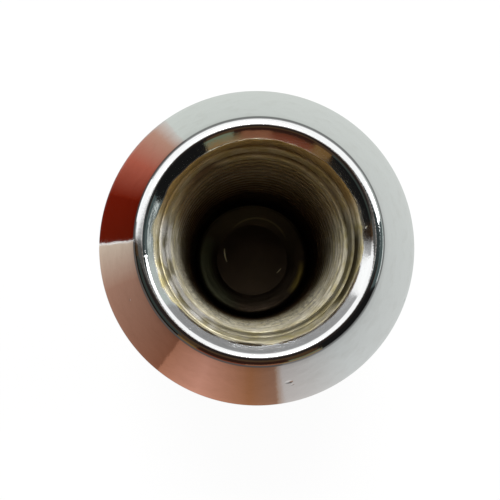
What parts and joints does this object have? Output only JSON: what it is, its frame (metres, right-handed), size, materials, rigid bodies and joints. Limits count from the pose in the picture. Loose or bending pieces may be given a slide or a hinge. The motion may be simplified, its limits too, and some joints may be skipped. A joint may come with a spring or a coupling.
{
  "type": "lug nut",
  "caption": "Closed-end chrome wheel nut with a hex barrel, a domed crown and a bulged conical seat around its threaded mouth.",
  "frame": {"origin": "centre of the crown's flat, on which the nut stands", "axes": "+Z along the thread's axis, out of the nut's mouth; +Y out of one flat of the hex"},
  "size_m": [0.022, 0.022, 0.035],
  "materials": {
    "chrome": "polished"
  },
  "bodies": {
    "root": {"lug_nut": "chrome"}
  },
  "joints": []
}
